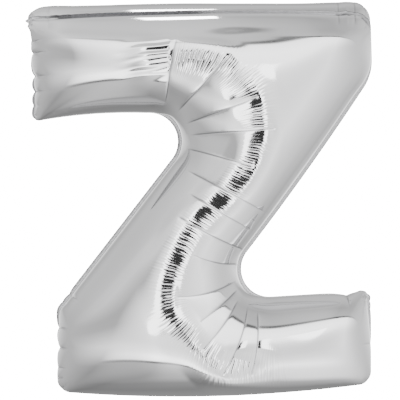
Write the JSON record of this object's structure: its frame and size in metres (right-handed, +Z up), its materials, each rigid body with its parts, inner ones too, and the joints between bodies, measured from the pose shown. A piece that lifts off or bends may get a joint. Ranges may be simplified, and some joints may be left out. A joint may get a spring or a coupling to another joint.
{
  "type": "letter foil balloon",
  "caption": "Inflated silver foil balloon in the shape of the letter Z, two welded film panels with a folding filling neck and valve sleeve.",
  "frame": {"origin": "middle of the letter on the plane of its seam, where the air bears it", "axes": "+Z up the letter, +X to the reader's right, +Y away from the reader; the front panel faces -Y"},
  "size_m": [0.7313, 0.2316, 0.8415],
  "materials": {
    "front_foil": "mirror-like metallised film",
    "back_foil": "mirror-like metallised film",
    "band_foil": "heat-sealed metallised film, slightly dulled",
    "neck_foil": "metallised film",
    "clear_film": "clear valve film"
  },
  "bodies": {
    "envelope": {"front_foil_panel": "front_foil", "back_foil_panel": "back_foil", "seam_band": "band_foil"},
    "filling_neck": {"neck_front_film": "neck_foil", "neck_back_film": "neck_foil", "valve_sleeve": "clear_film"}
  },
  "joints": [
    {"name": "neck_fold", "type": "hinge", "parent": "envelope", "child": "filling_neck", "pos_m": [-0.02, 0.00305, -0.41832], "axis": [1, 0, 0], "range_deg": [-93, 0]}
  ]
}
